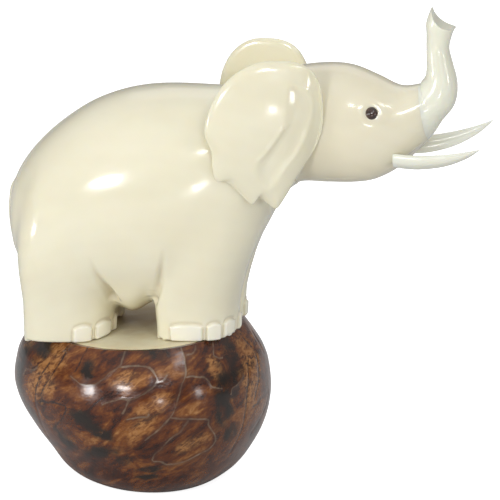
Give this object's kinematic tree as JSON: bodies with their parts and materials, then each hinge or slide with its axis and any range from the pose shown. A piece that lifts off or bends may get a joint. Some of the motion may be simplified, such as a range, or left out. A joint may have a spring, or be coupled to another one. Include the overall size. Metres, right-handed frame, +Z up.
{
  "type": "elephant figurine",
  "caption": "Polished vegetable-ivory elephant with raised trunk and tusks, standing on the sawn top of a whole brown nut.",
  "frame": {"origin": "centre of the flat under the base nut, on the surface it stands on", "axes": "+Z up, +X towards the elephant's head, +Y to the elephant's left"},
  "size_m": [0.0806, 0.04, 0.0825],
  "materials": {
    "kernel_sawn": "tagua kernel, sawn and lightly polished",
    "nut_skin": "mottled brown seed coat with pale veins, polished to a high gloss",
    "ivory_body": "cream vegetable ivory, polished",
    "ivory_head": "cream vegetable ivory, polished",
    "ivory_trunk": "pale vegetable ivory, polished",
    "ivory_ear": "thin translucent vegetable ivory, polished",
    "ivory_tusk": "pale vegetable ivory, polished",
    "eye_bead": "very dark brown, glossy",
    "birch": "plain turned dowel"
  },
  "bodies": {
    "root": {"nut_kernel": "kernel_sawn", "nut_skin": "nut_skin", "body": "ivory_body", "head": "ivory_head", "trunk": "ivory_trunk", "ear_right": "ivory_ear", "ear_left": "ivory_ear", "tusk_right": "ivory_tusk", "tusk_left": "ivory_tusk", "eye_right": "eye_bead", "eye_left": "eye_bead", "neck_dowel": "birch", "trunk_pin": "birch", "foot_pegs": "birch"}
  },
  "joints": []
}
